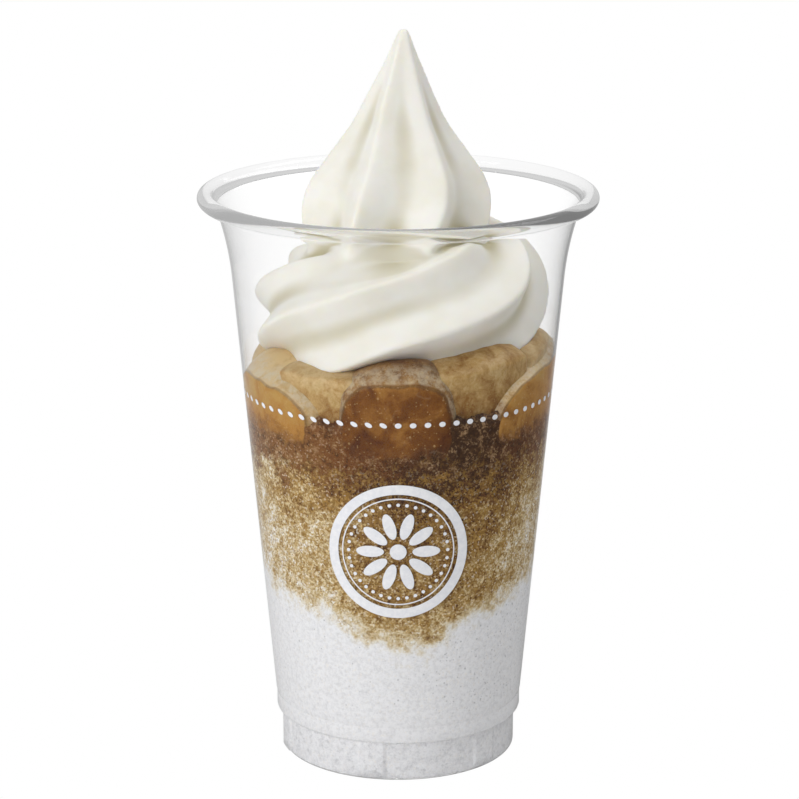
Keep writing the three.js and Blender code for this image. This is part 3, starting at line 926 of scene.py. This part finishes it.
def loose_grain_tree():
    """Scatters loose crystals of ice on the outer shoulder of the heap."""
    tree, given = geometry_tree("loose_grains", {
        "Per Area": ("Float", 1.0e6), "Grain": ("Float", 0.35 * MM), "Seed": ("Int", 7),
        "Lowest": ("Float", 84.5 * MM), "Innermost": ("Float", 27 * MM)})
    x, y, z = parts_of(node(tree, "GeometryNodeInputPosition"))
    rising = parts_of(node(tree, "GeometryNodeInputNormal"))[2]
    inside = calc("MINIMUM", z - given["Lowest"], length_of(x, y) - given["Innermost"])
    spots = step("GeometryNodeDistributePointsOnFaces", {
        "Mesh": given["Geometry"], "Selection": (inside > 0.0) * (rising > 0.3),
        "Density": given["Per Area"], "Seed": given["Seed"]}, distribute_method="RANDOM")
    crystal = step("GeometryNodeMeshIcoSphere", {"Radius": given["Grain"], "Subdivisions": 1})

    def random(low, high):
        return step("FunctionNodeRandomValue", {"Min": low, "Max": high, "Seed": given["Seed"]},
                    data_type="FLOAT_VECTOR")

    placed = step("GeometryNodeInstanceOnPoints", {
        "Points": spots, "Instance": crystal, "Rotation": random((0, 0, 0), (TURN, TURN, TURN)),
        "Scale": random((0.5, 0.4, 0.4), (1.5, 1.0, 0.9))})
    return close_tree(given, placed)


# ---- jelly pieces ----
# Degrees round from +X, distance out and height of the middle, half sizes across, outward and up,
# lean in degrees, how dark the syrup in it is, how far it stands off the wall (less than 0 where
# it is pressed on it), and how boxy it is.
JELLY = [(-90, 26.5, 87.5, 13.0, 11.3, 13.6, 0, 0.70, -0.3, 2.7),
         (-151, 26, 85.0, 17, 12.2, 14, -8, 0.16, -0.3, 2.3),
         (-14, 26.5, 85.5, 21, 12, 13.5, 17, 0.31, -0.3, 2.7),
         (35, 26, 85.5, 15, 12, 12.2, -5, 0.3, -0.3, 2.5),
         (90, 26, 87, 15.5, 12, 12.4, 0, 0.4, -0.3, 2.8),
         (149, 26, 84.5, 15, 12, 12.6, 0, 0.2, -0.3, 2.5),
         (-124, 24, 89.6, 17, 12.5, 9.3, 0, 0.25, 2.0, 2.8),
         (-52, 24, 91.8, 18, 12.5, 10.2, 5, 0.43, 1.8, 2.8),
         (-14, 25.5, 93.8, 11.5, 11, 9.5, 6, 0.30, 1.5, 2.5),
         (20, 24, 93.5, 11, 10, 9.5, 0, 0.3, 1.5, 2.5),
         (62, 23, 93, 11, 9.5, 10, 0, 0.4, 1.5, 2.5),
         (118, 23, 92, 10.5, 9.5, 9.5, 0, 0.3, 1.5, 2.5),
         (170, 24, 90.5, 11.5, 10, 8.5, 0, 0.1, 1.2, 2.5)]
IN_FRONT = (0, 1, 2, 6, 7)  # these are looked at most, and have finer meshes


def jelly_centre(row):
    turn = math.radians(row[0])
    return np.array([row[1] * math.cos(turn), row[1] * math.sin(turn), row[2]]) * MM


def pressed(row):
    """Whether a piece is pressed flat on the wall."""
    return row[8] < 0


def soft_reach(row, directions, seed):
    """How far a soft box with rounded sides reaches from its middle in each direction."""
    turn, lean = math.radians(90 - row[0]), math.radians(-row[6])
    x = directions[:, 0] * math.cos(turn) - directions[:, 1] * math.sin(turn)
    y = directions[:, 0] * math.sin(turn) + directions[:, 1] * math.cos(turn)
    z = directions[:, 2]
    x, z = x * math.cos(lean) + z * math.sin(lean), z * math.cos(lean) - x * math.sin(lean)
    power = row[9]
    total = sum(np.abs(part / half) ** power for part, half in zip((x, y, z), row[3:6]))
    lump = (1 + 0.035 * np.sin(3 * x + 1.7 * seed) * np.cos(2.4 * z + seed)
            + 0.03 * np.sin(4 * y + 2.9 * seed)
            + 0.010 * np.sin(11 * x + seed) * np.sin(9 * z + 2 * seed)
            + 0.006 * np.sin(17 * z + 3 * seed) * np.cos(15 * x))
    return lump * MM / total ** (1 / power)


def wall_reach(centre, directions, off):
    """How far it is from a point to the wall in each direction, stopping this much short of it.

    Low down the ice closes in front of the jelly along an uneven edge.
    """
    low = np.zeros(len(directions))
    high = np.full(len(directions), 60 * MM)
    for _ in range(26):
        middle = (low + high) / 2
        spot = centre + directions * middle[:, None]
        radius, z = np.hypot(spot[:, 0], spot[:, 1]), spot[:, 2]
        edge = z + 1.3 * MM * ragged(spot, 0.8 * MM, 3) + 2.2 * MM * ragged(spot, 3.7 * MM, 5)
        turned_off = np.clip((0.93 + spot[:, 1] / radius) / 0.18, 0, 1)
        foot = JELLY_FOOT + SIDE_FOOT * turned_off
        buried = np.clip((foot - edge) / (1.5 * MM), 0, 1) * 0.9 * MM
        fits = radius <= wall_radius(z) - SHEET - off - buried
        low, high = np.where(fits, middle, low), np.where(fits, high, middle)
    return low


def jelly_mesh(name, index, fineness):
    """A blob pressed flat against the wall, and against its neighbours, with rounded edges.

    Pieces on the wall keep their form, and the ones that stand off it give way to them.
    """
    row = JELLY[index]
    ball = bmesh.new()
    bmesh.ops.create_icosphere(ball, subdivisions=fineness, radius=1)
    mesh = bpy.data.meshes.new(name)
    ball.to_mesh(mesh)
    ball.free()
    directions = coordinates(mesh)
    directions /= np.linalg.norm(directions, axis=1)[:, None]
    centre = jelly_centre(row)
    sharp, sharper = 30.0, 90.0  # of the edges towards a neighbour, and towards the wall
    total = soft_reach(row, directions, index) ** -sharp
    for other, spot in enumerate(JELLY):
        if other == index or (pressed(row) and not pressed(spot)):
            continue
        apart = jelly_centre(spot) - centre
        distance = np.linalg.norm(apart)
        normal = apart / distance
        mine = soft_reach(row, normal[None], index)[0]
        theirs = soft_reach(spot, -normal[None], other)[0]
        share = mine / (mine + theirs)
        if pressed(spot) and not pressed(row):
            share = min(1.1 * share, 0.9)
        along = directions @ normal
        most = np.where(along > 0.05, distance * share / np.maximum(along, 0.05), 1.0)
        total += most ** -sharp
    reach = total ** (-1 / sharp)
    to_wall = wall_reach(centre, directions, row[8] * MM)
    reach = (reach ** -sharper + to_wall ** -sharper) ** (-1 / sharper)
    move_points(mesh, centre + directions * reach[:, None])
    same = np.ones(len(directions))
    return face_outward(store(mesh, {"tone": same * row[7], "stands_off": same * row[8]}))


def jelly_material():
    """Amber jelly: clear and deep where it is pressed on the wall, frosted where it comes away."""
    material, shader, place = new_material("amber_jelly")
    x, y, z = parts_of(place)
    height = z / MM
    wall = z * WALL["taper"] + (wall_radius(0) - SHEET + JELLY_INTO_WALL)
    gap = (wall - length_of(x, y)) / MM + uneven(place, 1.2 * MM, 0.2, 4, 0.6)
    touch = span(gap, 0.3, 0.1)
    loose = span(touch, 0.0, 1.0, 1.0, 0.0)
    on_wall = span(attribute(place, "stands_off"), 0.2, -0.2)
    tone = attribute(place, "tone")
    swirl = step("ShaderNodeMapping", {"Vector": place, "Scale": (1, 1, 0.9)})

    # how dark: the piece's own tone, deeper low down and lighter near the top as painted light
    # against the cream's shadow, painted shade low down where it does not touch the wall, with
    # clouds, wisps and a fine grain
    cloud = uneven(swirl, 6 * MM, 0.9, 3, 0.55, 0.8) * (loose * -0.1 + 1.15)
    wisps = uneven(swirl, 2.6 * MM, 0.8, 5, 0.7, 1.2) * (loose * 0.6 + 0.4)
    grainy = uneven(place, 0.6 * MM, 0.4, 4, 0.8)
    # darker low down; lighter from 92 to 97 mm as painted light against the shadow of the cream
    deeper_low_and_painted_lift = span(height, 89.0, 80.0, 0.0, 0.36) + span(height, 92.0, 97.0, 0.0, -0.22)
    foot = height + uneven(place, 3 * MM, 14.0, 5, 0.65)
    # painted shade low down where the jelly does not touch the wall
    shade = span(foot, 92.0, 84.0, 0.0, 0.3) * loose
    dark = tone + deeper_low_and_painted_lift * (tone * -0.8 + 1.0) + shade + cloud + wisps + grainy
    colour = mix(touch, ramp(dark, JELLY_HAZY), ramp(dark, JELLY_DEEP))

    # a film of frost where a piece comes away from the wall, and a dark line of painted shade in
    # the crease round its window, where it leaves the wall
    film = span(gap, 0.45, 0.8) * span(gap, 6.5, 2.5) * span(height, 84.0, 93.0, 0.1, 0.85)
    film = film * span(noise(swirl, 2.2 * MM, 6, 0.8), 0.38, 0.6, 0.1, 1.0)
    colour = mix(film * (tone * -0.5 + 1.05) * on_wall, colour, JELLY_FROST)
    # painted shade: a thin dark line in the crease where the jelly leaves the wall
    outline = span(gap, 0.1, 0.25) * span(gap, 0.65, 0.4)
    colour = mix(outline * on_wall * 0.45, colour, JELLY_CREASE_SHADE)

    # pale veins and bubbles inside
    veins = span(noise(swirl, 3.5 * MM, 6, 0.8, 1.5), 0.57, 0.68)
    colour = mix(veins * (loose * 0.12 + 0.08), colour, JELLY_FROST)
    for size, share in ((0.9 * MM, 0.92), (0.5 * MM, 0.88)):
        distance, number = cells(place, size)
        bubble = (number[0] > share) * span(distance, 0.42, 0.2)
        colour = mix(bubble * 0.45, colour, JELLY_SPECK)

    # painted shade darkening the upward faces of the loose pieces, and ice closing over the foot of
    # all of them
    rising = parts_of(node(place.tree, "ShaderNodeNewGeometry").output("Normal"))[2]
    wet_band_and_top_shade = span(rising, 0.1, 0.8, 0.0, 0.16) * (1.0 - on_wall)
    colour = mix(wet_band_and_top_shade, colour, JELLY_TOP_SHADE)
    closing = span(toward(place, 0), 0.93, 0.75, 0.0, SIDE_FOOT / MM)
    colour = mix(span(foot - closing, 83.5, 78.5), colour, ice_colour(place)[0])
    feed_all(shader, {
        "Base Color": colour, "Roughness": span(touch, 0, 1, 0.35, 0.55),
        "Specular IOR Level": 0.15, "Subsurface Weight": 0.3,
        "Subsurface Radius": (1.0, 0.55, 0.25), "Subsurface Scale": 1.0 * MM,
        "Normal": bump(noise(place, 1.5 * MM, 3, 0.6), 0.12 * MM, 0.4)})
    return material


# ---- soft-serve ----
def cream_material():
    """Dairy soft-serve: nearly white on the crests, with warm painted shade down in the flutes."""
    material, shader, place = new_material("soft_serve_cream")
    colour = mix(span(noise(place, 9 * MM, 3, 0.55), 0.35, 0.65), CREAM_WARM, CREAM_PALE)
    # painted shade: darker and warmer where the skin lies below its smoothed surroundings
    colour = mix(span(attribute(place, "hollow"), 0.0, 0.56), colour, CREAM_FLUTE_SHADE)
    feed_all(shader, {
        "Base Color": colour, "Roughness": span(noise(place, 4 * MM, 2), 0.3, 0.7, 0.45, 0.55),
        "Specular IOR Level": 0.3, "Subsurface Weight": 0.4,
        "Subsurface Radius": (1.0, 0.75, 0.4), "Subsurface Scale": 2.0 * MM,
        "Normal": bump(noise(place, 5 * MM, 2, 0.5), 0.25 * MM, 0.3)})
    return material


# ---- print ----
def print_tree():
    """A ring of dots round the cup, and a medallion: ring, beads and petals round a middle.

    Shapes are laid out flat in x and y, as length round the wall and height, then wrapped.
    """
    tree, given = geometry_tree("print", {
        "Dots": ("Int", 68), "Dot Height": ("Float", DOT_HEIGHT), "Middle": ("Float", 57.6 * MM),
        "Outer": ("Float", 16.2 * MM), "Inner": ("Float", 13.9 * MM), "Beads": ("Int", 36),
        "Bead Ring": ("Float", 11.4 * MM), "Petals": ("Int", 10),
        "Petal Ring": ("Float", 6.4 * MM), "Proud": ("Float", INK)})

    def joined(*shapes):
        made = node(tree, "GeometryNodeJoinGeometry")
        for shape in shapes:
            feed(made.socket.node.inputs[0], shape)
        return made

    def filled(corners, *radii):
        circles = [node(tree, "GeometryNodeCurvePrimitiveCircle",
                        {"Radius": radius, "Resolution": corners}, mode="RADIUS")
                   for radius in radii]
        return step("GeometryNodeFillCurve", {0: joined(*circles)})

    def round_the_middle(shape, name, scale):
        spots = step("GeometryNodeMeshCircle", {
            "Vertices": given[name + "s"], "Radius": given[name + " Ring"]})
        here = node(tree, "GeometryNodeInputPosition")
        turn = step("FunctionNodeAlignRotationToVector", {"Vector": here}, axis="Y")
        return step("GeometryNodeInstanceOnPoints", {
            "Points": spots, "Instance": shape, "Rotation": turn, "Scale": scale})

    inner = given["Inner"]
    flat = joined(
        filled(160, given["Outer"], inner),
        filled(160, inner - 0.9 * MM, inner - 1.2 * MM),
        round_the_middle(filled(16, 0.42 * MM), "Bead", (1, 1, 1)),
        round_the_middle(filled(40, 1 * MM), "Petal", (1.35, 3.2, 1)),
        filled(40, 1.9 * MM))
    flat = step("GeometryNodeRealizeInstances", {0: flat})
    raised = step("GeometryNodeTransform", {
        "Geometry": flat, "Translation": vector(0.0, given["Middle"])})

    apart = (1.0 / given["Dots"]) * float(TURN * (wall_radius(DOT_HEIGHT) + INK))
    line = step("GeometryNodeMeshLine", {
        "Count": given["Dots"], "Start Location": vector(0.0, given["Dot Height"]),
        "Offset": vector(apart)})
    dots = step("GeometryNodeInstanceOnPoints", {
        "Points": line, "Instance": filled(20, 1 * MM), "Scale": (0.75, 0.62, 1)})
    dots = step("GeometryNodeRealizeInstances", {0: dots})
    fine = step("GeometryNodeSubdivideMesh", {"Mesh": joined(raised, dots), "Level": 2})

    x, y, _ = parts_of(node(tree, "GeometryNodeInputPosition"))
    radius = given["Proud"] + (y * WALL["taper"] + wall_radius(0))
    wrapped = step("GeometryNodeSetPosition", {
        "Geometry": fine, "Position": polar(radius, x / radius - math.pi / 2, y)})
    return close_tree(given, wrapped)


def print_material():
    """White ink, slightly uneven in cover."""
    material, shader, place = new_material("white_ink")
    cover = noise(place, 1.1 * MM, 4, 0.65)
    feed_all(shader, {
        "Base Color": mix(span(cover, 0.3, 0.7), *INK_COLOURS),
        "Roughness": span(cover, 0.3, 0.7, 0.5, 0.35),
        "Normal": bump(cover, 0.02 * MM, 0.4)})
    return material


# ---- the object ----
def place_piece(name, mesh, material, slot, *replaced, smooth=True):
    """A finished piece: riding on the one body, and instead of these nodes. The slot is not used.
    """
    made = new_object(name, mesh)
    mesh.materials.clear()
    mesh.materials.append(material)
    mesh.shade_smooth() if smooth else mesh.shade_flat()
    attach(made, "root")
    if replaced:
        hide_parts(*replaced)


build_stage()
place_piece("cup_shell", cup_mesh(), clear_plastic("clear_plastic"), "cup_plastic", "cup")
place_piece("white_shaved_ice", white_ice_mesh(), ice_material("shaved_ice"), "white_ice",
            "white_ice")
soaked, soaked_look = syrup_ice_mesh(), ice_material("syrup_soaked_ice")
place_piece("syrup_shaved_ice", soaked, soaked_look, "syrup_ice", "syrup_ice")
loose = run_tree("loose_ice", loose_grain_tree(), soaked.copy())
place_piece("loose_ice_grains", loose, soaked_look, "syrup_ice", smooth=False)
amber = jelly_material()
for number in range(len(JELLY)):
    node_name = f"jelly_{number + 1:02d}"
    fineness = 6 if number in IN_FRONT else 5
    mesh = jelly_mesh(node_name, number, fineness)
    place_piece(node_name + "_piece", mesh, amber, "jelly", node_name)
place_piece("soft_serve_swirl", soft_serve_mesh(), cream_material(), "soft_serve", "soft_serve")
printed = run_tree("cup_print", print_tree(), bpy.data.meshes.new("print_source"))
place_piece("cup_print", printed, print_material(), "print_white")
